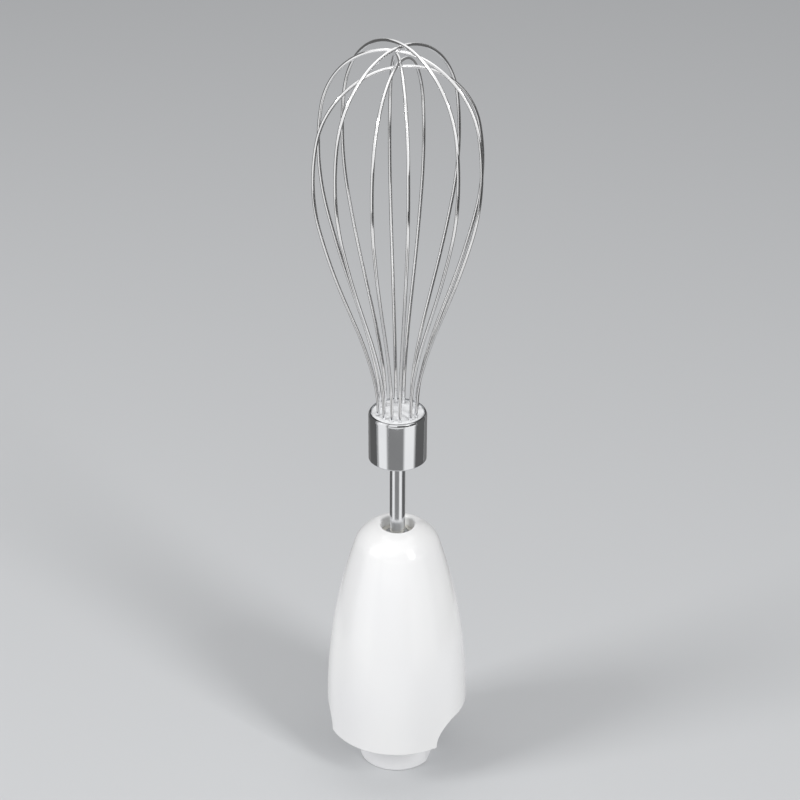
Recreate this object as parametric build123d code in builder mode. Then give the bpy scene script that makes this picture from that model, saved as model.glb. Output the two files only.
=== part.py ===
# Mixer whisk with its gear housing, standing on the coupling spigot.
# Millimetres, +Z up, origin on the axis at the spigot's foot.
import os
from math import acos, asin, atan2, cos, degrees, pi, radians, sin, sqrt, tan

from build123d import *

os.makedirs("parts", exist_ok=True)

# fits
press_gap = 0.02
run_gap = 0.05
seat_gap = 0.05

# gear set
module = 0.6
pressure_deg = 25.0
backlash = 0.10
sun_teeth = 12
planet_teeth = 18
planet_count = 3
planet_gear_h = 8.0
planet_lift = 2.3
planet_top_gap = 0.6
sun_lift = 0.9
sun_top_gap = 0.4
ring_wall = 2.65
ring_over = 1.9
ring_seat_depth = 0.8
pin_r = 1.5
pin_foot_gap = 1.0

# screws and their bosses
screw_count = 3
screw_first_deg = 90.0
screw_r = 1.2
screw_head_r = 2.0
screw_head_h = 1.6
screw_grip = 8.5
screw_slot_t = 0.6
boss_wall = 2.0
boss_notch_wall = 1.9
boss_sink = 0.4
boss_end_gap = 3.0

# gear housing
wall = 2.4
skirt_drop = 12.0
straight_h = 10.0
housing_h = 83.2
side_arc_r = 215.0
nose_arc_r = 11.0
nose_gap = 1.65
nose_lip = 0.7
edge_round = 0.5
rib_reach = 6.7
rib_sink = 0.4
rib_h = 6.0
rib_t = 2.0

# arched cut-outs of the skirt
arch_half_width = 16.0
arch_rise = 9.7
arch_corner_r = 8.8
arch_foot_r = 0.8

# coupling base
spigot_r = 13.5
spigot_wall = 3.0
spigot_h = 28.0
spigot_foot_round = 0.8
latch_depth = 0.95
latch_h = 11.5
floor_t = 5.7
flange_t = 3.5
flange_gap = 0.2

# drive shaft, bush, washer and plug
drive_r = 2.5
base_bush_wall = 1.5
base_bush_flange = 1.2
base_bush_flange_h = 0.7
washer_rim = 2.3
washer_h = 0.8
dog_wall = 2.9
dog_inset = 5.0
dog_floor = 6.0
dog_groove_r = 1.3
dog_groove_l = 13.4
dog_grooves = 6
dog_chamfer = 0.9

# planet carrier, output sleeve and gear cover
carrier_gap = 0.6
carrier_h = 4.2
cover_gap = 1.2
cover_t = 2.5
cover_rim_gap = 1.0
hub_step = 1.7
hub_stand = 1.5
socket_floor = 1.0
socket_flat_h = 7.0
flat_cut = 0.7
sleeve_wall = 1.5
sleeve_drop = 0.4
grip_drop = 7.5
grip_wire_r = 0.44

# nose bush
nose_floor = 3.7
nose_bush_wall = 3.65
nose_bush_h = 12.5

# whisk shaft, collar and wire holder
shaft_r = 2.75
shaft_show = 27.0
shaft_hold = 12.2
collar_wall = 0.85
collar_h = 18.6
collar_floor = 1.0
collar_foot_round = 0.6
collar_rim_h = 1.6
holder_drop = 0.5
holder_round = 0.5

# wire loops, three with a high crown and three with a low one, each a little off an even pitch
wire_r = 0.575
wire_circle_r = 7.1
wire_edge = 2.3
wire_hold = 10.8
loop_first_deg = 27.0
crown_gap = 0.15
low_crown_h = 127.0
crown_lift = 5.3
high_foot_h = 1.3
high_flare_r = 61.4
high_flare_deg = 13.5
high_spread_r = 149.0
high_spread_deg = 7.4
high_side_r = 273.0
high_side_deg = 5.3
high_shoulder_r = 83.0
high_shoulder_deg = 25.1
low_foot_h = 1.0
low_flare_r = 53.7
low_flare_deg = 12.6
low_spread_r = 155.0
low_spread_deg = 8.1
low_side_r = 225.0
low_side_deg = 6.8
low_shoulder_r = 72.8
low_shoulder_deg = 24.7
loop_kinds = ["low", "high", "low", "low", "high", "high"]
loop_steps = [-1, 0, 0, 1, 1, -1]
loop_drifts = [7.5, 7.5, 2.5, -5.0, -3.0, -8.5]

# gear radii
ring_teeth = sun_teeth + 2 * planet_teeth
sun_pitch_r = module * sun_teeth / 2
planet_pitch_r = module * planet_teeth / 2
ring_pitch_r = module * ring_teeth / 2
planet_circle_r = sun_pitch_r + planet_pitch_r
tooth_width = pi * module / 2
addendum = module
dedendum = 1.25 * module
ring_tip_r = ring_pitch_r - addendum
ring_root_r = ring_pitch_r + dedendum
ring_r = ring_root_r + ring_wall

# other radii, from the gear set outwards
boss_r = screw_r + boss_wall
screw_circle_r = ring_root_r + boss_notch_wall + seat_gap + boss_r
inner_r = screw_circle_r + boss_r - boss_sink
housing_r = inner_r + wall
flange_r = inner_r - flange_gap
spigot_bore_r = spigot_r - spigot_wall
latch_flat_x = spigot_r - latch_depth
base_bush_r = drive_r + run_gap + base_bush_wall
sleeve_r = shaft_r + run_gap + sleeve_wall
hub_r = sleeve_r + hub_step
carrier_r = ring_tip_r - carrier_gap
cover_rim_r = carrier_r + cover_rim_gap
nose_hole_r = sleeve_r + nose_gap
nose_bush_r = sleeve_r + run_gap + nose_bush_wall
collar_r = wire_circle_r + wire_edge + collar_wall
holder_r = collar_r - collar_wall - press_gap
grip_ring_r = shaft_r + press_gap + grip_wire_r

# heights, from the foot upwards
flange_z = spigot_h
flange_top_z = flange_z + flange_t
ring_seat_z = flange_top_z - ring_seat_depth
recess_top_z = ring_seat_z - floor_t
dog_top_z = recess_top_z - washer_h - seat_gap
drive_foot_z = dog_inset + dog_floor
planet_gear_z = ring_seat_z + planet_lift
sun_gear_z = ring_seat_z + base_bush_flange_h + sun_lift
carrier_z = planet_gear_z + planet_gear_h + planet_top_gap
carrier_top_z = carrier_z + carrier_h
ring_top_z = carrier_z + ring_over
boss_top_z = flange_top_z + screw_grip + boss_end_gap
cover_plate_z = carrier_top_z + cover_gap
cover_top_z = cover_plate_z + cover_t
hub_top_z = cover_top_z + hub_stand
socket_z = hub_top_z + socket_floor
skirt_z = flange_z - skirt_drop
side_start_z = skirt_z + straight_h
nose_top_z = skirt_z + housing_h
nose_bush_top_z = nose_top_z - nose_floor
nose_bush_z = nose_bush_top_z - nose_bush_h
sleeve_top_z = nose_bush_top_z - sleeve_drop
grip_z = sleeve_top_z - grip_drop
collar_z = nose_top_z + shaft_show
collar_top_z = collar_z + collar_h
shaft_foot_z = socket_z + seat_gap
shaft_top_z = collar_z + shaft_hold
holder_top_z = collar_top_z - holder_drop
wire_foot_z = collar_top_z - wire_hold

# housing profile: a long side arc that blends into the nose arc
side_centre_r = housing_r - side_arc_r
nose_centre_z = nose_top_z - nose_arc_r
nose_centre_r = side_centre_r + sqrt((side_arc_r - nose_arc_r) ** 2 - (nose_centre_z - side_start_z) ** 2)
blend_deg = degrees(atan2(nose_centre_z - side_start_z, nose_centre_r - side_centre_r))
rim_deg = degrees(acos((nose_hole_r - nose_centre_r) / nose_arc_r))
inner_arc_r = side_arc_r - wall
shelf_deg = degrees(asin((nose_bush_z - side_start_z) / inner_arc_r))
rib_outer_r = side_centre_r + sqrt(inner_arc_r**2 - (cover_top_z - side_start_z) ** 2) + rib_sink

# patterns and the bends of the wires
screw_step_deg = 360.0 / screw_count
planet_step_deg = 360.0 / planet_count
loop_count = len(loop_kinds)
loop_step_deg = 180.0 / loop_count
loop_turns = [loop_first_deg + loop * loop_step_deg + loop_drifts[loop] for loop in range(loop_count)]
crown_step = 2 * wire_r + crown_gap
outward = {
    "high": [(high_flare_r, high_flare_deg), (high_spread_r, high_spread_deg)],
    "low": [(low_flare_r, low_flare_deg), (low_spread_r, low_spread_deg)],
}
inward = {
    "high": [(high_side_r, high_side_deg), (high_shoulder_r, high_shoulder_deg)],
    "low": [(low_side_r, low_side_deg), (low_shoulder_r, low_shoulder_deg)],
}
foot_h = {"high": high_foot_h, "low": low_foot_h}
crown_h = {"high": low_crown_h + crown_lift, "low": low_crown_h}


def polar(radius, angle_deg):
    """Point at a radius and an angle."""
    return (radius * cos(radians(angle_deg)), radius * sin(radians(angle_deg)))


def on_arc(centre_r, centre_z, radius, angle_deg):
    """Point of a profile arc, from its centre."""
    across, up = polar(radius, angle_deg)
    return (centre_r + across, centre_z + up)


def half_tooth_deg(pitch_r, width, radius):
    """Half the angle that an involute tooth takes up at a radius."""
    base_r = pitch_r * cos(radians(pressure_deg))
    spread = width / (2 * pitch_r) + tan(radians(pressure_deg)) - radians(pressure_deg)
    if radius <= base_r:
        return degrees(spread)
    here = acos(base_r / radius)
    return degrees(spread - tan(here) + here)


def gear_outline(teeth, root_r, tip_r, width, first_deg):
    """Face of a spur gear with its first tooth at an angle."""
    pitch_r = module * teeth / 2
    base_r = pitch_r * cos(radians(pressure_deg))
    start_r = max(base_r, root_r)
    middle_r = (start_r + tip_r) / 2
    foot_r = root_r - 0.1 * module
    Circle(root_r)
    for tooth in range(teeth):
        centre = first_deg + tooth * 360.0 / teeth
        foot = half_tooth_deg(pitch_r, width, start_r)
        middle = half_tooth_deg(pitch_r, width, middle_r)
        tip = half_tooth_deg(pitch_r, width, tip_r)
        with BuildLine() as outline:
            Line(polar(foot_r, centre - foot), polar(start_r, centre - foot))
            ThreePointArc(
                polar(start_r, centre - foot),
                polar(middle_r, centre - middle),
                polar(tip_r, centre - tip),
            )
            ThreePointArc(polar(tip_r, centre - tip), polar(tip_r, centre), polar(tip_r, centre + tip))
            ThreePointArc(
                polar(tip_r, centre + tip),
                polar(middle_r, centre + middle),
                polar(start_r, centre + foot),
            )
            Line(polar(start_r, centre + foot), polar(foot_r, centre + foot))
            Line(polar(foot_r, centre + foot), polar(foot_r, centre - foot))
        make_face(outline.edges())


# glossy casing, open below, with a shelf for the nose bush
with BuildPart() as gear_housing:
    with BuildSketch(Plane.XZ):
        with BuildLine():
            side_end = on_arc(side_centre_r, side_start_z, side_arc_r, blend_deg)
            rim = on_arc(nose_centre_r, nose_centre_z, nose_arc_r, rim_deg)
            shelf = on_arc(side_centre_r, side_start_z, inner_arc_r, shelf_deg)
            Line((inner_r, skirt_z), (housing_r, skirt_z))
            Line((housing_r, skirt_z), (housing_r, side_start_z))
            ThreePointArc(
                (housing_r, side_start_z),
                on_arc(side_centre_r, side_start_z, side_arc_r, blend_deg / 2),
                side_end,
            )
            ThreePointArc(
                side_end,
                on_arc(nose_centre_r, nose_centre_z, nose_arc_r, (blend_deg + rim_deg) / 2),
                rim,
            )
            Polyline(
                rim,
                (nose_hole_r, nose_bush_top_z),
                (nose_bush_r, nose_bush_top_z),
                (nose_bush_r, nose_bush_z),
                shelf,
            )
            ThreePointArc(
                shelf,
                on_arc(side_centre_r, side_start_z, inner_arc_r, shelf_deg / 2),
                (inner_r, side_start_z),
            )
            Line((inner_r, side_start_z), (inner_r, skirt_z))
        make_face()
        fillet(vertices().sort_by(Axis.Y)[-1], nose_lip)
        fillet(vertices().sort_by(Axis.Y)[:2], edge_round)
    revolve(axis=Axis.Z)
    with BuildSketch(Plane.YZ):
        with Locations((0, skirt_z)):
            Rectangle(2 * arch_half_width, arch_rise, align=(Align.CENTER, Align.MIN))
            Rectangle(3 * arch_half_width, 2 * arch_foot_r, align=(Align.CENTER, Align.MAX))
        fillet(vertices().sort_by(Axis.Y)[-2:], arch_corner_r)
        fillet(vertices().group_by(Axis.Y)[1].sort_by(Axis.X)[1:3], arch_foot_r)
    extrude(amount=2 * housing_r, both=True, mode=Mode.SUBTRACT)
    with BuildSketch(Plane.XY.offset(flange_top_z)):
        with PolarLocations(screw_circle_r, screw_count, start_angle=screw_first_deg):
            Circle(boss_r)
            Circle(screw_r + press_gap, mode=Mode.SUBTRACT)
    extrude(amount=boss_top_z - flange_top_z)
    with BuildSketch(Plane.XY.offset(cover_top_z)):
        with PolarLocations(rib_outer_r, screw_count, start_angle=screw_first_deg + screw_step_deg / 2):
            Rectangle(rib_reach, rib_t, align=(Align.MAX, Align.CENTER))
    extrude(amount=rib_h)
gear_housing.part.label = "gear_housing"
export_step(gear_housing.part, "parts/gear_housing.step")

# spigot and flange in one moulding, closing the housing from below
with BuildPart() as coupling_base:
    with BuildSketch(Plane.XZ):
        with BuildLine():
            Polyline(
                (spigot_bore_r, 0),
                (spigot_r, 0),
                (spigot_r, flange_z),
                (flange_r, flange_z),
                (flange_r, flange_top_z),
                (ring_r + seat_gap, flange_top_z),
                (ring_r + seat_gap, ring_seat_z),
                (base_bush_r, ring_seat_z),
                (base_bush_r, recess_top_z),
                (spigot_bore_r, recess_top_z),
                close=True,
            )
        make_face()
        fillet(vertices().sort_by(Axis.Y)[:2].sort_by(Axis.X)[1], spigot_foot_round)
    revolve(axis=Axis.Z)
    with BuildSketch(Plane.XY):
        with PolarLocations(latch_flat_x + spigot_r / 2, 2):
            Rectangle(spigot_r, 2 * spigot_r)
    extrude(amount=latch_h, mode=Mode.SUBTRACT)
    with BuildSketch(Plane.XY.offset(flange_z)):
        with PolarLocations(screw_circle_r, screw_count, start_angle=screw_first_deg):
            Circle(screw_r + run_gap)
    extrude(amount=flange_top_z - flange_z, mode=Mode.SUBTRACT)
    with BuildSketch(Plane.XY.offset(flange_z)):
        with PolarLocations(screw_circle_r, screw_count, start_angle=screw_first_deg):
            Circle(screw_head_r + seat_gap)
    extrude(amount=screw_head_h, mode=Mode.SUBTRACT)
coupling_base.part.label = "coupling_base"
export_step(coupling_base.part, "parts/coupling_base.step")

# three slotted screws, one group
with BuildPart() as base_screws:
    with BuildSketch(Plane.XY.offset(flange_z)):
        with PolarLocations(screw_circle_r, screw_count, start_angle=screw_first_deg):
            Circle(screw_head_r)
    extrude(amount=screw_head_h)
    with BuildSketch(Plane.XY.offset(flange_z)):
        with PolarLocations(screw_circle_r, screw_count, start_angle=screw_first_deg):
            Circle(screw_r)
    extrude(amount=flange_t + screw_grip)
    with BuildSketch(Plane.XY.offset(flange_z)):
        with PolarLocations(screw_circle_r, screw_count, start_angle=screw_first_deg):
            Rectangle(2 * screw_head_r, screw_slot_t)
    extrude(amount=screw_head_h / 2, mode=Mode.SUBTRACT)
base_screws.part.label = "base_screws"
export_step(base_screws.part, "parts/base_screws.step")

# fixed internal gear, keyed by the screw bosses
with BuildPart() as ring_gear:
    with BuildSketch(Plane.XY.offset(ring_seat_z)):
        Circle(ring_r)
        with PolarLocations(screw_circle_r, screw_count, start_angle=screw_first_deg):
            Circle(boss_r + seat_gap, mode=Mode.SUBTRACT)
    extrude(amount=ring_top_z - ring_seat_z)
    with BuildSketch(Plane.XY.offset(ring_seat_z)):
        gear_outline(
            ring_teeth,
            ring_tip_r,
            ring_root_r,
            tooth_width + backlash / 2,
            180.0 / ring_teeth,
        )
    extrude(amount=ring_top_z - ring_seat_z, mode=Mode.SUBTRACT)
ring_gear.part.label = "ring_gear"
export_step(ring_gear.part, "parts/ring_gear.step")

# lid of the gear set, with the carrier's lower bearing
with BuildPart() as gear_cover:
    with BuildSketch(Plane.XZ):
        with BuildLine():
            Polyline(
                (cover_rim_r, ring_top_z),
                (ring_r, ring_top_z),
                (ring_r, cover_top_z),
                (hub_r + run_gap, cover_top_z),
                (hub_r + run_gap, cover_plate_z),
                (cover_rim_r, cover_plate_z),
                close=True,
            )
        make_face()
    revolve(axis=Axis.Z)
gear_cover.part.label = "gear_cover"
export_step(gear_cover.part, "parts/gear_cover.step")

# bearing of the output sleeve
with BuildPart() as nose_bush:
    with BuildSketch(Plane.XY.offset(nose_bush_z)):
        Circle(nose_bush_r - press_gap)
        Circle(sleeve_r + run_gap, mode=Mode.SUBTRACT)
    extrude(amount=nose_bush_top_z - nose_bush_z)
nose_bush.part.label = "nose_bush"
export_step(nose_bush.part, "parts/nose_bush.step")

# flanged bearing of the drive shaft
with BuildPart() as base_bush:
    with BuildSketch(Plane.XY.offset(recess_top_z)):
        Circle(base_bush_r - press_gap)
        Circle(drive_r + run_gap, mode=Mode.SUBTRACT)
    extrude(amount=ring_seat_z - recess_top_z)
    with BuildSketch(Plane.XY.offset(ring_seat_z)):
        Circle(base_bush_r + base_bush_flange)
        Circle(drive_r + run_gap, mode=Mode.SUBTRACT)
    extrude(amount=base_bush_flange_h)
base_bush.part.label = "base_bush"
export_step(base_bush.part, "parts/base_bush.step")

# driving gear and its shaft
with BuildPart() as sun_pinion:
    with BuildSketch(Plane.XY.offset(drive_foot_z)):
        Circle(drive_r)
    extrude(amount=sun_gear_z - drive_foot_z)
    with BuildSketch(Plane.XY.offset(sun_gear_z)):
        gear_outline(
            sun_teeth,
            sun_pitch_r - dedendum,
            sun_pitch_r + addendum,
            tooth_width - backlash / 2,
            0,
        )
    extrude(amount=carrier_z - sun_top_gap - sun_gear_z)
sun_pinion.part.label = "sun_pinion"
export_step(sun_pinion.part, "parts/sun_pinion.step")

# washer between the dog and the base
with BuildPart() as drive_washer:
    with BuildSketch(Plane.XY.offset(dog_top_z)):
        Circle(drive_r + washer_rim)
        Circle(drive_r + press_gap, mode=Mode.SUBTRACT)
    extrude(amount=washer_h)
drive_washer.part.label = "drive_washer"
export_step(drive_washer.part, "parts/drive_washer.step")

# grooved plug that the motor's spindle turns
with BuildPart() as drive_dog:
    with BuildSketch(Plane.XY.offset(dog_inset)):
        Circle(drive_r + dog_wall)
    extrude(amount=dog_top_z - dog_inset)
    chamfer(edges().sort_by(Axis.Z)[0], dog_chamfer)
    with BuildSketch(Plane.XY.offset(dog_inset)):
        with PolarLocations(drive_r + dog_wall, dog_grooves):
            Circle(dog_groove_r)
    extrude(amount=dog_groove_l, mode=Mode.SUBTRACT)
    with BuildSketch(Plane.XY.offset(drive_foot_z)):
        Circle(drive_r + press_gap)
    extrude(amount=dog_top_z - drive_foot_z, mode=Mode.SUBTRACT)
drive_dog.part.label = "drive_dog"
export_step(drive_dog.part, "parts/drive_dog.step")

# plate and output sleeve, with a two-flat socket for the whisk's shaft
with BuildPart() as planet_carrier:
    with BuildSketch(Plane.XZ):
        with BuildLine():
            Polyline(
                (0, carrier_z),
                (carrier_r, carrier_z),
                (carrier_r, carrier_top_z),
                (hub_r, carrier_top_z),
                (hub_r, hub_top_z),
                (sleeve_r, hub_top_z),
                (sleeve_r, sleeve_top_z),
                (shaft_r + run_gap, sleeve_top_z),
                (shaft_r + run_gap, socket_z),
                (0, socket_z),
                close=True,
            )
        make_face()
    revolve(axis=Axis.Z)
    with BuildSketch(Plane.XY.offset(socket_z)):
        Circle(shaft_r + run_gap)
        Rectangle(4 * shaft_r, 2 * (shaft_r - flat_cut + run_gap), mode=Mode.SUBTRACT)
    extrude(amount=socket_flat_h)
    with BuildSketch(Plane.XY.offset(grip_z - grip_wire_r - seat_gap)):
        Circle(grip_ring_r + grip_wire_r + seat_gap)
    extrude(amount=2 * (grip_wire_r + seat_gap), mode=Mode.SUBTRACT)
    with BuildSketch(Plane.XY.offset(carrier_z)):
        with PolarLocations(planet_circle_r, planet_count):
            Circle(pin_r + press_gap)
    extrude(amount=carrier_h, mode=Mode.SUBTRACT)
planet_carrier.part.label = "planet_carrier"
export_step(planet_carrier.part, "parts/planet_carrier.step")

# three pins pressed into the carrier, one group
with BuildPart() as planet_pins:
    with BuildSketch(Plane.XY.offset(ring_seat_z + base_bush_flange_h + pin_foot_gap)):
        with PolarLocations(planet_circle_r, planet_count):
            Circle(pin_r)
    extrude(amount=carrier_top_z - ring_seat_z - base_bush_flange_h - pin_foot_gap)
planet_pins.part.label = "planet_pins"
export_step(planet_pins.part, "parts/planet_pins.step")

# rubber ring that holds the shaft in the sleeve
with BuildPart() as grip_ring:
    with BuildSketch(Plane.XZ):
        with Locations((grip_ring_r, grip_z)):
            Circle(grip_wire_r)
    revolve(axis=Axis.Z)
grip_ring.part.label = "grip_ring"
export_step(grip_ring.part, "parts/grip_ring.step")

# planet gears, each with a tooth gap towards the axis
for planet in range(planet_count):
    planet_deg = planet * planet_step_deg
    planet_x, planet_y = polar(planet_circle_r, planet_deg)
    with BuildPart() as planet_gear:
        with BuildSketch(Plane((planet_x, planet_y, planet_gear_z))):
            gear_outline(
                planet_teeth,
                planet_pitch_r - dedendum,
                planet_pitch_r + addendum,
                tooth_width - backlash / 2,
                planet_deg + 180.0 / planet_teeth,
            )
            Circle(pin_r + run_gap, mode=Mode.SUBTRACT)
        extrude(amount=planet_gear_h)
    planet_name = f"planet_gear_{planet + 1}"
    planet_gear.part.label = planet_name
    export_step(planet_gear.part, f"parts/{planet_name}.step")

# rod with two drive flats at its foot
with BuildPart() as whisk_shaft:
    with BuildSketch(Plane.XY.offset(shaft_foot_z)):
        Circle(shaft_r)
        Rectangle(4 * shaft_r, 2 * (shaft_r - flat_cut), mode=Mode.INTERSECT)
    extrude(amount=socket_flat_h)
    with BuildSketch(Plane.XY.offset(shaft_foot_z + socket_flat_h)):
        Circle(shaft_r)
    extrude(amount=shaft_top_z - shaft_foot_z - socket_flat_h)
whisk_shaft.part.label = "whisk_shaft"
export_step(whisk_shaft.part, "parts/whisk_shaft.step")

# drawn cup with a rounded rim
with BuildPart() as whisk_collar:
    with BuildSketch(Plane.XZ):
        with BuildLine():
            TangentArc(
                (collar_r, collar_top_z - collar_rim_h),
                (collar_r - collar_wall, collar_top_z),
                tangent=(0, 1),
            )
            Polyline(
                (collar_r - collar_wall, collar_top_z),
                (collar_r - collar_wall, collar_z + collar_floor),
                (shaft_r + press_gap, collar_z + collar_floor),
                (shaft_r + press_gap, collar_z),
                (collar_r, collar_z),
                (collar_r, collar_top_z - collar_rim_h),
            )
        make_face()
        fillet(vertices().sort_by(Axis.Y)[:2].sort_by(Axis.X)[1], collar_foot_round)
    revolve(axis=Axis.Z)
whisk_collar.part.label = "whisk_collar"
export_step(whisk_collar.part, "parts/whisk_collar.step")

# plug that takes the ends of the wires
with BuildPart() as wire_holder:
    with BuildSketch(Plane.XZ):
        with BuildLine():
            Polyline(
                (0, shaft_top_z + press_gap),
                (shaft_r + press_gap, shaft_top_z + press_gap),
                (shaft_r + press_gap, collar_z + collar_floor),
                (holder_r, collar_z + collar_floor),
                (holder_r, holder_top_z),
                (0, holder_top_z),
                close=True,
            )
        make_face()
        fillet(vertices().sort_by(Axis.Y)[-2:].sort_by(Axis.X)[1], holder_round)
    revolve(axis=Axis.Z)
    with BuildSketch(Plane.XY.offset(wire_foot_z)):
        for turn in loop_turns:
            with PolarLocations(wire_circle_r, 2, start_angle=turn):
                Circle(wire_r + press_gap)
    extrude(amount=wire_hold, mode=Mode.SUBTRACT)
wire_holder.part.label = "wire_holder"
export_step(wire_holder.part, "parts/wire_holder.step")

# bent wires: two feet in the holder, tangent bends, and a crown that crosses the axis
for loop in range(loop_count):
    kind = loop_kinds[loop]
    start_z = collar_top_z + foot_h[kind]
    rise = crown_h[kind] + loop_steps[loop] * crown_step - foot_h[kind]
    bends = [(radius, -angle) for radius, angle in outward[kind]]
    bends += [(radius, angle) for radius, angle in inward[kind]]
    reach = wire_circle_r
    heading = 90.0
    for radius, angle in bends:
        side = radius if angle > 0 else -radius
        reach += side * (sin(radians(heading + angle)) - sin(radians(heading)))
        rise -= side * (cos(radians(heading)) - cos(radians(heading + angle)))
        heading += angle
    lean = radians(90.0 - sum(angle for radius, angle in outward[kind]))
    crown_rise = (1 + cos(radians(heading))) / sin(radians(heading))
    straight = (rise - reach * crown_rise) / (sin(lean) + cos(lean) * crown_rise)
    crown_r = (reach + straight * cos(lean)) / sin(radians(heading))
    with BuildPart() as wire_loop:
        with BuildLine(Plane.XZ.rotated((0, 0, loop_turns[loop]))):
            foot = Line((wire_circle_r, wire_foot_z), (wire_circle_r, start_z))
            run = foot
            for radius, angle in bends[:2]:
                run = JernArc(run @ 1, run % 1, radius, angle)
            run = Line(run @ 1, run @ 1 + straight * (run % 1))
            for radius, angle in bends[2:]:
                run = JernArc(run @ 1, run % 1, radius, angle)
            run = JernArc(run @ 1, run % 1, crown_r, 2 * (180.0 - heading))
            for radius, angle in reversed(bends[2:]):
                run = JernArc(run @ 1, run % 1, radius, angle)
            run = Line(run @ 1, run @ 1 + straight * (run % 1))
            for radius, angle in reversed(bends[:2]):
                run = JernArc(run @ 1, run % 1, radius, angle)
            Line(run @ 1, (-wire_circle_r, wire_foot_z))
        with BuildSketch(Plane(origin=foot @ 0, z_dir=foot % 0)):
            Circle(wire_r)
        sweep()
    loop_name = f"wire_loop_{loop + 1}"
    wire_loop.part.label = loop_name
    export_step(wire_loop.part, f"parts/{loop_name}.step")
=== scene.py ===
from math import atan2, cos, degrees, radians, sin, tan

import bpy
from mathutils import Matrix, Vector


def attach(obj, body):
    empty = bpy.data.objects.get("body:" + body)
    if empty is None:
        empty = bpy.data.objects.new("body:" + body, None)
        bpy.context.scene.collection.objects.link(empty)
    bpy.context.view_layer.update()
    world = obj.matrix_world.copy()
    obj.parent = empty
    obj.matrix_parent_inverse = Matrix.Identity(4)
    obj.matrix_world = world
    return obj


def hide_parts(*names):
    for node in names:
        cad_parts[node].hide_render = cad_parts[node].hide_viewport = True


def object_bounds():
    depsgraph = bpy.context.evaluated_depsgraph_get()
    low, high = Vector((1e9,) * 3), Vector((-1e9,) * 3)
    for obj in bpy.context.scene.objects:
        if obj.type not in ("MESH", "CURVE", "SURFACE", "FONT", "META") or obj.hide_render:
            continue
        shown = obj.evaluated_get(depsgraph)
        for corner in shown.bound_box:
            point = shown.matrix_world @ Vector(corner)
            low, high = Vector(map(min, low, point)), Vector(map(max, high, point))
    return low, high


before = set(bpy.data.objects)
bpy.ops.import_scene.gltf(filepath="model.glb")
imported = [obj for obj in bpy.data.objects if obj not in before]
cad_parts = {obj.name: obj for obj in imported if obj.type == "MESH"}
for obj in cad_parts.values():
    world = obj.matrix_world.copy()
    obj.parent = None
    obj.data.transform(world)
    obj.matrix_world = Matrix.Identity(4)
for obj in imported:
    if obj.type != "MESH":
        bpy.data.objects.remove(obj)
cad_low, cad_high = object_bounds()

# view of the photograph, metres and degrees
view_turn = 16.0
view_reach = 0.7128
view_height = 0.5338
view_aside = 0.00075
view_dip = 28.362
view_roll = 0.25
view_lens = 105.51
view_film = 36.0

# collar, metres
collar_r = 0.01025
collar_low = 0.1262
collar_top = 0.1448
collar_wall = 0.00085
collar_floor = 0.001
collar_foot_round = 0.0006
collar_foot_steps = 6
collar_rim_rise = 0.0016
collar_rim_steps = 8
collar_bore = 0.00277
lip_round = 0.00035

# painted shade and dark reflection along the collar's lip, metres below its top
lip_shade_low = 0.0005
lip_shade_top = 0.0002
lip_painted_shade_grey = (0.21, 0.21, 0.22)

# holder, metres
holder_r = 0.00938
holder_top = 0.1443
holder_round = 0.0005
holder_round_steps = 4
socket_end = 0.13842
on_axis = 0.0000002
hole_r = 0.000595
hole_mouth_round = 0.00012
drill_over = 0.001
drill_sides = 32

# wires, metres and degrees
wire_r = 0.000575
wire_circle = 0.0071
wire_foot = 0.134
crown_step = 0.0013
crown_parts = 4
foot_rise = {"low": 0.0010, "high": 0.0013}
crown_rise = {"low": 0.1270, "high": 0.1323}
outward_bends = {
    "low": [(0.0537, 12.6), (0.1550, 8.1)],
    "high": [(0.0614, 13.5), (0.1490, 7.4)],
}
inward_bends = {
    "low": [(0.2250, 6.8), (0.0728, 24.7)],
    "high": [(0.2730, 5.3), (0.0830, 25.1)],
}
loop_kinds = ["low", "high", "low", "low", "high", "high"]
loop_steps = [-1, 0, 0, 1, 1, -1]
loop_turns = [34.5, 64.5, 89.5, 112.0, 144.0, 168.5]
wire_steps = 20
wire_side_steps = 5
end_handle = 0.001

# meshes, metres and degrees
turned_sides = 128
round_steps = 3
turned_crease = 35.0
wire_crease = 40.0
merge_gap = 0.000001
same_height = 0.00001
mouth_slack = 0.00002

# floor and lamps, metres and degrees
floor_size = 12.0
floor_near = 0.3
floor_far = 3.0
# the floor's colour goes from the near grey to the far one as painted light, making up for the lamps falling
# off with distance
floor_near_grey = (0.60, 0.61, 0.62)
floor_far_grey = (0.94, 0.95, 0.96)
lamp_aim = (0.0, 0.0, 0.12)

# cards, metres from the axis and above the floor
card_reach = 0.15
card_top = 0.36
front_step = 0.077
pale_step = 0.14
left_step = 0.17
right_step = 0.23
floor_card_reach = 0.078
floor_card_height = 0.002

# brightness of the cards, and the share of a card's width that fades at each side
white = 1.0
pale = 0.85
half_grey = 0.5
grey = 0.26
back_grey = 0.20
side_dark = 0.12
dark = 0.07
faded = 0.25
card_fade = 0.25

# light and colours of the room
room_fill = (0.40, 0.40, 0.405)
room_in_metal = (1.0, 1.0, 1.0)
room_in_view = (0.38, 0.385, 0.395)


# finishes

# noise values at which a finish reaches its two ends
grain_low = 0.3
grain_high = 0.7

# sockets of a colour mix, which share their names with others
mix_share = 0
mix_from = 6
mix_to = 7
mix_result = 2


def new_finish(name, colour, roughness, metallic=0.0):
    finish = bpy.data.materials.new(name)
    finish.use_nodes = True
    shader = finish.node_tree.nodes["Principled BSDF"]
    shader.inputs["Base Color"].default_value = (*colour, 1.0)
    shader.inputs["Roughness"].default_value = roughness
    shader.inputs["Metallic"].default_value = metallic
    return finish


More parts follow.
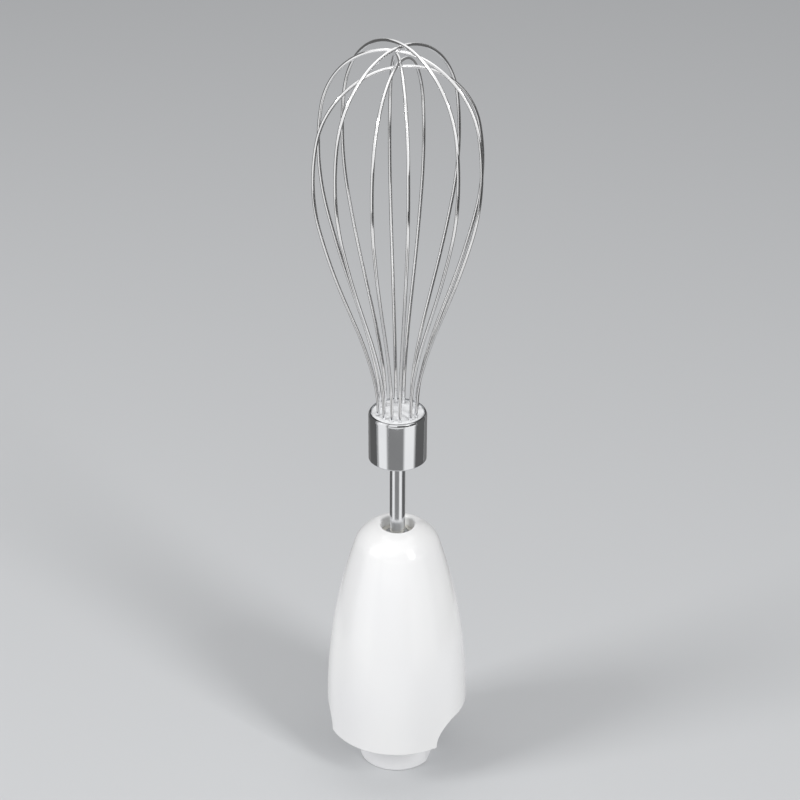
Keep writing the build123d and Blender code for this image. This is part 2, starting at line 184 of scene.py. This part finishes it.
def grain(finish, cells, stretch=(1.0, 1.0, 1.0), detail=3.0):
    """Noise on the piece's own coordinates, in cells per metre."""
    nodes = finish.node_tree.nodes
    links = finish.node_tree.links
    place = nodes.new("ShaderNodeTexCoord")
    mapping = nodes.new("ShaderNodeMapping")
    mapping.inputs["Scale"].default_value = stretch
    noise = nodes.new("ShaderNodeTexNoise")
    noise.inputs["Scale"].default_value = cells
    noise.inputs["Detail"].default_value = detail
    links.new(place.outputs["Object"], mapping.inputs["Vector"])
    links.new(mapping.outputs["Vector"], noise.inputs["Vector"])
    return noise.outputs[0]


def away_from_axis(finish, near, far):
    """From 0 at the near distance from the axis to 1 at the far one."""
    nodes = finish.node_tree.nodes
    links = finish.node_tree.links
    place = nodes.new("ShaderNodeTexCoord")
    distance = nodes.new("ShaderNodeVectorMath")
    distance.operation = "LENGTH"
    share = nodes.new("ShaderNodeMapRange")
    share.inputs["From Min"].default_value = near
    share.inputs["From Max"].default_value = far
    links.new(place.outputs["Object"], distance.inputs[0])
    links.new(distance.outputs["Value"], share.inputs["Value"])
    return share.outputs["Result"]


def tint(finish, pattern, darker, lighter):
    """Varies the colour between two shades by a pattern."""
    nodes = finish.node_tree.nodes
    links = finish.node_tree.links
    ramp = nodes.new("ShaderNodeValToRGB")
    ends = ramp.color_ramp.elements
    ends[0].position = grain_low
    ends[0].color = (*darker, 1.0)
    ends[1].position = grain_high
    ends[1].color = (*lighter, 1.0)
    links.new(pattern, ramp.inputs["Fac"])
    links.new(ramp.outputs["Color"], nodes["Principled BSDF"].inputs["Base Color"])


def gloss(finish, pattern, smooth, rough):
    """Varies the roughness between two values by a pattern."""
    nodes = finish.node_tree.nodes
    links = finish.node_tree.links
    spread = nodes.new("ShaderNodeMapRange")
    spread.inputs["From Min"].default_value = grain_low
    spread.inputs["From Max"].default_value = grain_high
    spread.inputs["To Min"].default_value = smooth
    spread.inputs["To Max"].default_value = rough
    links.new(pattern, spread.inputs["Value"])
    links.new(spread.outputs["Result"], nodes["Principled BSDF"].inputs["Roughness"])


def paint_shade_above(finish, low, top, shade):
    """Mixes in a dark colour as painted shade, from none of it at one height to all of it at another."""
    nodes = finish.node_tree.nodes
    links = finish.node_tree.links
    colour = nodes["Principled BSDF"].inputs["Base Color"]
    place = nodes.new("ShaderNodeTexCoord")
    split = nodes.new("ShaderNodeSeparateXYZ")
    share = nodes.new("ShaderNodeMapRange")
    share.inputs["From Min"].default_value = low
    share.inputs["From Max"].default_value = top
    blend = nodes.new("ShaderNodeMix")
    blend.data_type = "RGBA"
    blend.inputs[mix_to].default_value = (*shade, 1.0)
    links.new(place.outputs["Object"], split.inputs["Vector"])
    links.new(split.outputs["Z"], share.inputs["Value"])
    links.new(share.outputs["Result"], blend.inputs[mix_share])
    links.new(colour.links[0].from_socket, blend.inputs[mix_from])
    links.new(blend.outputs[mix_result], colour)


housing_white = new_finish("housing_white_gloss", (0.83, 0.83, 0.82), 0.25)
tint(housing_white, grain(housing_white, 35.0, detail=1.0), (0.835, 0.835, 0.84), (0.85, 0.85, 0.845))
gloss(housing_white, grain(housing_white, 90.0, detail=1.0), 0.13, 0.155)

base_white = new_finish("base_white_satin", (0.80, 0.80, 0.81), 0.35)
tint(base_white, grain(base_white, 50.0, detail=1.0), (0.80, 0.80, 0.815), (0.82, 0.82, 0.825))
gloss(base_white, grain(base_white, 120.0, detail=1.0), 0.32, 0.38)

holder_white = new_finish("holder_white_satin", (0.80, 0.81, 0.82), 0.3)
tint(holder_white, grain(holder_white, 120.0, detail=1.0), (0.80, 0.81, 0.82), (0.82, 0.83, 0.84))
gloss(holder_white, grain(holder_white, 200.0, detail=1.0), 0.28, 0.32)

collar_steel = new_finish("collar_polished_steel", (0.78, 0.79, 0.80), 0.12, 1.0)
gloss(collar_steel, grain(collar_steel, 1.0, (900.0, 900.0, 9000.0)), 0.05, 0.09)
tint(collar_steel, grain(collar_steel, 60.0), (0.74, 0.75, 0.77), (0.80, 0.81, 0.82))
# painted dark line at the lip, standing in for the shade and dark reflection between the rim and the holder
paint_shade_above(collar_steel, collar_top - lip_shade_low, collar_top - lip_shade_top, lip_painted_shade_grey)

shaft_steel = new_finish("shaft_ground_steel", (0.76, 0.77, 0.78), 0.14, 1.0)
gloss(shaft_steel, grain(shaft_steel, 1.0, (1200.0, 1200.0, 9000.0)), 0.11, 0.18)
tint(shaft_steel, grain(shaft_steel, 90.0), (0.72, 0.73, 0.75), (0.79, 0.80, 0.81))

wire_steel = new_finish("wire_drawn_steel", (0.80, 0.80, 0.81), 0.12, 1.0)
gloss(wire_steel, grain(wire_steel, 700.0), 0.06, 0.12)
tint(wire_steel, grain(wire_steel, 90.0), (0.83, 0.83, 0.84), (0.90, 0.90, 0.90))

plain_steel = new_finish("plain_turned_steel", (0.6, 0.61, 0.62), 0.3, 1.0)
gloss(plain_steel, grain(plain_steel, 1.0, (900.0, 900.0, 6000.0)), 0.25, 0.4)

gear_nylon = new_finish("gear_cream_nylon", (0.78, 0.76, 0.70), 0.45)
tint(gear_nylon, grain(gear_nylon, 200.0), (0.74, 0.72, 0.66), (0.80, 0.78, 0.72))
gloss(gear_nylon, grain(gear_nylon, 800.0), 0.40, 0.55)

bush_grey = new_finish("bush_grey_acetal", (0.50, 0.51, 0.52), 0.4)
tint(bush_grey, grain(bush_grey, 200.0), (0.46, 0.47, 0.48), (0.54, 0.55, 0.56))
gloss(bush_grey, grain(bush_grey, 600.0), 0.35, 0.5)

bush_bronze = new_finish("bush_sintered_bronze", (0.62, 0.45, 0.25), 0.4, 1.0)
tint(bush_bronze, grain(bush_bronze, 900.0), (0.52, 0.37, 0.20), (0.66, 0.49, 0.28))
gloss(bush_bronze, grain(bush_bronze, 1500.0), 0.35, 0.55)

plug_grey = new_finish("plug_grey_plastic", (0.38, 0.39, 0.41), 0.45)
tint(plug_grey, grain(plug_grey, 150.0), (0.34, 0.35, 0.37), (0.41, 0.42, 0.44))
gloss(plug_grey, grain(plug_grey, 700.0), 0.38, 0.55)

grip_rubber = new_finish("grip_black_rubber", (0.03, 0.03, 0.03), 0.7)
tint(grip_rubber, grain(grip_rubber, 500.0), (0.02, 0.02, 0.02), (0.04, 0.04, 0.04))

node_finishes = {
    "gear_housing": housing_white,
    "coupling_base": base_white,
    "base_screws": plain_steel,
    "ring_gear": gear_nylon,
    "gear_cover": gear_nylon,
    "nose_bush": gear_nylon,
    "base_bush": bush_bronze,
    "sun_pinion": plain_steel,
    "drive_washer": plain_steel,
    "drive_dog": plug_grey,
    "planet_carrier": bush_grey,
    "planet_pins": plain_steel,
    "grip_ring": grip_rubber,
    "planet_gear_1": gear_nylon,
    "planet_gear_2": gear_nylon,
    "planet_gear_3": gear_nylon,
    "whisk_shaft": shaft_steel,
    "whisk_collar": collar_steel,
    "wire_holder": holder_white,
}
for loop in range(1, 7):
    node_finishes[f"wire_loop_{loop}"] = wire_steel
for node, finish in node_finishes.items():
    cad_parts[node].data.materials.clear()
    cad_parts[node].data.materials.append(finish)


# pieces of the whisk

def deselect():
    bpy.ops.object.select_all(action="DESELECT")


def select_only(piece):
    deselect()
    bpy.context.view_layer.objects.active = piece
    piece.select_set(True)


def clean_piece(name, crease):
    """Merges doubled points, turns the faces outwards, and names and smooths the piece."""
    bpy.ops.object.mode_set(mode="EDIT")
    bpy.ops.mesh.select_all(action="SELECT")
    bpy.ops.mesh.remove_doubles(threshold=merge_gap)
    bpy.ops.mesh.normals_make_consistent(inside=False)
    bpy.ops.object.mode_set(mode="OBJECT")
    piece = bpy.context.object
    piece.name = name
    piece.data.name = name
    bpy.ops.object.shade_smooth_by_angle(angle=radians(crease))
    return piece


def arc(centre_r, centre_z, radius, start_deg, end_deg, steps):
    """Radius and height of each point on an arc of a turned profile."""
    turns = [radians(start_deg + (end_deg - start_deg) * step / steps) for step in range(steps + 1)]
    return [(centre_r + radius * cos(turn), centre_z + radius * sin(turn)) for turn in turns]


def turned(name, profile):
    """A ring drawn out and scaled from point to point of a profile."""
    deselect()
    radius, height = profile[0]
    bpy.ops.mesh.primitive_circle_add(vertices=turned_sides, radius=radius, location=(0.0, 0.0, height))
    bpy.ops.object.transform_apply(location=True)
    bpy.ops.object.mode_set(mode="EDIT")
    bpy.ops.mesh.select_all(action="SELECT")
    for next_radius, next_height in profile[1:]:
        lift = (0.0, 0.0, next_height - height)
        bpy.ops.mesh.extrude_region_move(TRANSFORM_OT_translate={"value": lift})
        grow = next_radius / radius
        bpy.ops.transform.resize(value=(grow, grow, 1.0), center_override=(0.0, 0.0, next_height))
        radius, height = next_radius, next_height
    return clean_piece(name, turned_crease)


def cut_away(piece, cutter):
    cut = piece.modifiers.new("cut", "BOOLEAN")
    cut.operation = "DIFFERENCE"
    cut.solver = "EXACT"
    cut.object = cutter
    select_only(piece)
    bpy.ops.object.modifier_apply(modifier="cut")
    bpy.data.objects.remove(cutter)


def round_edges(piece, width, chosen):
    """Bevels the edges whose two ends are chosen by place."""
    select_only(piece)
    bpy.ops.object.mode_set(mode="EDIT")
    bpy.ops.mesh.select_mode(type="EDGE")
    bpy.ops.mesh.select_all(action="DESELECT")
    bpy.ops.object.mode_set(mode="OBJECT")
    points = piece.data.vertices
    for edge in piece.data.edges:
        edge.select = all(chosen(points[end].co) for end in edge.vertices)
    bpy.ops.object.mode_set(mode="EDIT")
    bpy.ops.mesh.bevel(offset=width, offset_type="OFFSET", segments=round_steps, affect="EDGES")
    bpy.ops.object.mode_set(mode="OBJECT")
    bpy.ops.object.shade_smooth_by_angle(angle=radians(turned_crease))


def at_collar_lip(point):
    return abs(point.z - collar_top) < same_height


def at_hole_mouth(point):
    flat = Vector((point.x, point.y, 0.0))
    near = min((flat - place).length for place in foot_places)
    return abs(point.z - holder_top) < same_height and near < hole_r + mouth_slack


def dress(piece, node, body, finish):
    piece.data.materials.clear()
    piece.data.materials.append(finish)
    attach(piece, body)
    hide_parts(node)


# drawn steel cup with its rim turned in over the holder
inside_low = collar_low + collar_floor
rim_arc_r = (collar_wall**2 + collar_rim_rise**2) / (2 * collar_wall)
rim_turn = degrees(atan2(collar_rim_rise, rim_arc_r - collar_wall))
rim_low = collar_top - collar_rim_rise
foot = collar_foot_round
collar_profile = [(collar_bore, collar_low)]
collar_profile += arc(collar_r - foot, collar_low + foot, foot, -90.0, 0.0, collar_foot_steps)
collar_profile += arc(collar_r - rim_arc_r, rim_low, rim_arc_r, 0.0, rim_turn, collar_rim_steps)
collar_profile += [(collar_r - collar_wall, inside_low), (collar_bore, inside_low)]
collar_profile += collar_profile[:1]
collar = turned("steel_collar", collar_profile)
round_edges(collar, lip_round, at_collar_lip)
dress(collar, "whisk_collar", "whisk", collar_steel)

# moulded holder, cut for the feet of the wires
holder_profile = [(on_axis, socket_end), (collar_bore, socket_end)]
holder_profile += [(collar_bore, inside_low), (holder_r, inside_low)]
edge_r = holder_r - holder_round
edge_z = holder_top - holder_round
holder_profile += arc(edge_r, edge_z, holder_round, 0.0, 90.0, holder_round_steps)
holder_profile += [(on_axis, holder_top)]
holder = turned("moulded_holder", holder_profile)
foot_places = []
for turn in loop_turns:
    for half in (0.0, 180.0):
        side = radians(turn + half)
        foot_places.append(Vector((wire_circle * cos(side), wire_circle * sin(side), 0.0)))
drill_top = holder_top + drill_over
drills = []
for place in foot_places:
    deselect()
    bpy.ops.mesh.primitive_cylinder_add(
        vertices=drill_sides,
        radius=hole_r,
        depth=drill_top - wire_foot,
        location=(place.x, place.y, (wire_foot + drill_top) / 2),
    )
    drills.append(bpy.context.object)
for drill in drills:
    drill.select_set(True)
bpy.ops.object.join()
cut_away(holder, bpy.context.object)
round_edges(holder, hole_mouth_round, at_hole_mouth)
dress(holder, "wire_holder", "whisk", holder_white)


# bent wires

def wire_run(kind, step):
    """Straights and bends from foot to foot: length and 0, or radius and angle."""
    reach = wire_circle
    heading = 90.0
    rise = crown_rise[kind] + step * crown_step - foot_rise[kind]
    outward = [(radius, -angle) for radius, angle in outward_bends[kind]]
    inward = inward_bends[kind]
    for radius, angle in outward + inward:
        side = radius if angle > 0 else -radius
        reach += side * (sin(radians(heading + angle)) - sin(radians(heading)))
        rise -= side * (cos(radians(heading)) - cos(radians(heading + angle)))
        heading += angle
    lean = radians(90.0 - sum(angle for radius, angle in outward_bends[kind]))
    slope = (1 + cos(radians(heading))) / sin(radians(heading))
    straight = (rise - reach * slope) / (sin(lean) + cos(lean) * slope)
    crown_r = (reach + straight * cos(lean)) / sin(radians(heading))
    crown = [(crown_r, 2 * (180.0 - heading) / crown_parts)] * crown_parts
    foot_straight = collar_top + foot_rise[kind] - wire_foot
    leg = [(foot_straight, 0.0)] + outward + [(straight, 0.0)] + inward
    return leg + crown + leg[::-1]


def ahead(course):
    return Vector((cos(course), 0.0, sin(course)))


def lay_wire(spline, run):
    """Sets the points and handles of a spline along a run of straights and bends."""
    spline.bezier_points.add(len(run) - 1)
    points = spline.bezier_points
    point = Vector((wire_circle, 0.0, wire_foot))
    course = radians(90.0)
    points[0].co = point
    points[0].handle_left_type = "FREE"
    points[0].handle_left = point - end_handle * ahead(course)
    for index, (size, angle) in enumerate(run):
        here, there = points[index], points[index + 1]
        pull = size / 3 if angle == 0 else 4 / 3 * tan(radians(abs(angle)) / 4) * size
        here.handle_right_type = "FREE"
        here.handle_right = point + pull * ahead(course)
        if angle == 0:
            point = point + size * ahead(course)
        else:
            side = size if angle > 0 else -size
            bent = course + radians(angle)
            point = point + side * Vector((sin(bent) - sin(course), 0.0, cos(course) - cos(bent)))
            course = bent
        there.co = point
        there.handle_left_type = "FREE"
        there.handle_left = point - pull * ahead(course)
    points[-1].handle_right_type = "FREE"
    points[-1].handle_right = point + end_handle * ahead(course)


def bent_wire(name, kind, step, turn):
    """A round wire from one foot over the crown to the other."""
    deselect()
    bpy.ops.curve.primitive_bezier_curve_add()
    curve = bpy.context.object
    lay_wire(curve.data.splines[0], wire_run(kind, step))
    curve.data.splines[0].resolution_u = wire_steps
    curve.data.bevel_depth = wire_r
    curve.data.bevel_resolution = wire_side_steps
    curve.data.use_fill_caps = True
    curve.rotation_euler = (0.0, 0.0, radians(turn))
    bpy.ops.object.convert(target="MESH")
    bpy.ops.object.transform_apply(location=True, rotation=True, scale=True)
    return clean_piece(name, wire_crease)


for loop in range(6):
    wire = bent_wire(f"bent_wire_{loop + 1}", loop_kinds[loop], loop_steps[loop], loop_turns[loop])
    dress(wire, f"wire_loop_{loop + 1}", "whisk", wire_steel)


# studio

def beside(turn, reach, height):
    """A point at a turn from the camera's side of the object, positive to its right."""
    heading = radians(view_turn + turn)
    return (reach * sin(heading), -reach * cos(heading), height)


deselect()
bpy.ops.mesh.primitive_plane_add(size=floor_size, location=(0.0, 0.0, cad_low[2]))
floor = bpy.context.object
floor.name = "floor"
floor_paint = new_finish("floor_pale_grey", floor_near_grey, 1.0)
floor_paint.node_tree.nodes["Principled BSDF"].inputs["Specular IOR Level"].default_value = 0.0
# painted light: the floor grows lighter away from the axis where the lamps no longer reach
tint(floor_paint, away_from_axis(floor_paint, floor_near, floor_far), floor_near_grey, floor_far_grey)
floor.data.materials.append(floor_paint)


def add_soft_lamp(name, turn, reach, height, width, tall, power):
    bpy.ops.object.light_add(type="AREA", location=beside(turn, reach, height))
    lamp = bpy.context.object
    lamp.name = name
    lamp.data.shape = "RECTANGLE"
    lamp.data.size = width
    lamp.data.size_y = tall
    lamp.data.energy = power
    lamp.visible_camera = False
    aim = Vector(lamp_aim) - lamp.location
    lamp.rotation_euler = aim.to_track_quat("-Z", "Y").to_euler()


add_soft_lamp("left_soft_lamp", turn=-66.0, reach=1.1, height=0.76, width=0.42, tall=0.75, power=8.8)
add_soft_lamp("right_soft_lamp", turn=42.0, reach=1.1, height=0.76, width=0.3, tall=0.7, power=8.8)
add_soft_lamp("top_soft_lamp", turn=180.0, reach=0.35, height=1.5, width=1.2, tall=1.2, power=2.4)


def fade_sides(reflected_glow, glow, shade, edge_shade):
    """Takes a card's brightness down towards its two sides."""
    nodes = reflected_glow.node_tree.nodes
    links = reflected_glow.node_tree.links
    place = nodes.new("ShaderNodeTexCoord")
    split = nodes.new("ShaderNodeSeparateXYZ")
    aside = nodes.new("ShaderNodeMath")
    aside.operation = "ABSOLUTE"
    fade = nodes.new("ShaderNodeMapRange")
    fade.interpolation_type = "SMOOTHSTEP"
    fade.inputs["From Min"].default_value = 0.5 - card_fade
    fade.inputs["From Max"].default_value = 0.5
    fade.inputs["To Min"].default_value = shade
    fade.inputs["To Max"].default_value = edge_shade
    links.new(place.outputs["Object"], split.inputs["Vector"])
    links.new(split.outputs["X"], aside.inputs[0])
    links.new(aside.outputs["Value"], fade.inputs["Value"])
    links.new(fade.outputs["Result"], glow.inputs["Strength"])


def add_card(name, place, rotation, width, tall, shade, edge_shade=None):
    """A glowing card, no lamp, standing in for a lit studio card: only polished metal reflects it."""
    deselect()
    bpy.ops.mesh.primitive_plane_add(size=1.0, location=place, rotation=rotation)
    card = bpy.context.object
    card.name = name
    card.scale = (width, tall, 1.0)
    reflected_glow = bpy.data.materials.new(name + "_paper")
    reflected_glow.use_nodes = True
    nodes = reflected_glow.node_tree.nodes
    nodes.clear()
    glow = nodes.new("ShaderNodeEmission")
    glow.inputs["Strength"].default_value = shade
    if edge_shade is not None:
        fade_sides(reflected_glow, glow, shade, edge_shade)
    out = nodes.new("ShaderNodeOutputMaterial")
    reflected_glow.node_tree.links.new(glow.outputs["Emission"], out.inputs["Surface"])
    card.data.materials.append(reflected_glow)
    card.visible_camera = False
    card.visible_diffuse = False
    card.visible_shadow = False


def stand_card(name, turn, low, top, width, shade, edge_shade=None):
    place = beside(turn, card_reach, (low + top) / 2)
    rotation = (radians(90.0), 0.0, radians(view_turn + turn))
    add_card(name, place, rotation, width, top - low, shade, edge_shade)


# turn, lower edge, upper edge, width and brightness of each card, then the brightness that its sides fade to
stand_card("front_grey_card", -8.0, 0.0, front_step, 0.150, grey)
stand_card("front_pale_card", -2.5, front_step, pale_step, 0.187, pale)
stand_card("front_dark_card", -2.5, pale_step, left_step, 0.187, dark)
stand_card("front_left_white_card", -18.5, left_step, card_top, 0.09, white)
stand_card("front_right_dark_card", 14.0, left_step, right_step, 0.085, dark)
stand_card("front_right_white_card", 14.0, right_step, card_top, 0.085, white)
stand_card("left_white_card", -60.5, 0.0, card_top, 0.142, white, faded)
stand_card("right_white_card", 46.0, 0.0, pale_step, 0.160, white, faded)
stand_card("right_upper_dark_card", 52.0, pale_step, right_step, 0.118, dark)
stand_card("right_upper_white_card", 52.0, right_step, card_top, 0.118, white)
stand_card("left_dark_card", -111.0, 0.0, card_top, 0.130, side_dark)
stand_card("right_dark_card", 99.0, 0.0, card_top, 0.138, side_dark)
stand_card("left_back_card", -149.0, 0.0, card_top, 0.085, back_grey)
stand_card("right_back_card", 144.0, 0.0, card_top, 0.105, back_grey)
# a glowing card lying on the floor in front, seen only in metal: painted light over the floor where the
# object's shade falls
floor_card_place = beside(0.0, floor_card_reach, floor_card_height)
add_card("floor_white_card", floor_card_place, (0.0, 0.0, radians(view_turn)), 0.15, 0.1, half_grey)

world = bpy.context.scene.world or bpy.data.worlds.new("studio")
bpy.context.scene.world = world
world.use_nodes = True
fill = world.node_tree.nodes["Background"]
fill.inputs["Color"].default_value = (*room_fill, 1.0)
ray = world.node_tree.nodes.new("ShaderNodeLightPath")


def shown_to(light, kind, colour):
    """A colour of the room for one kind of ray, over the light for the others."""
    room = world.node_tree.nodes.new("ShaderNodeBackground")
    room.inputs["Color"].default_value = (*colour, 1.0)
    blend = world.node_tree.nodes.new("ShaderNodeMixShader")
    world.node_tree.links.new(ray.outputs[kind], blend.inputs["Fac"])
    world.node_tree.links.new(light, blend.inputs[1])
    world.node_tree.links.new(room.outputs["Background"], blend.inputs[2])
    return blend.outputs["Shader"]


light = shown_to(fill.outputs["Background"], "Is Glossy Ray", room_in_metal)
light = shown_to(light, "Is Camera Ray", room_in_view)
world.node_tree.links.new(light, world.node_tree.nodes["World Output"].inputs["Surface"])

bpy.ops.object.camera_add(
    location=(
        view_reach * sin(radians(view_turn)) + view_aside * cos(radians(view_turn)),
        -view_reach * cos(radians(view_turn)) + view_aside * sin(radians(view_turn)),
        view_height,
    ),
    rotation=(radians(90.0 - view_dip), 0.0, radians(view_turn)),
)
camera = bpy.context.object
rolled = camera.rotation_euler.to_matrix() @ Matrix.Rotation(radians(view_roll), 3, "Z")
camera.rotation_euler = rolled.to_euler()
camera.name = "photo_camera"
camera.data.lens = view_lens
camera.data.sensor_width = view_film
bpy.context.scene.camera = camera
bpy.context.scene.view_settings.view_transform = "Standard"
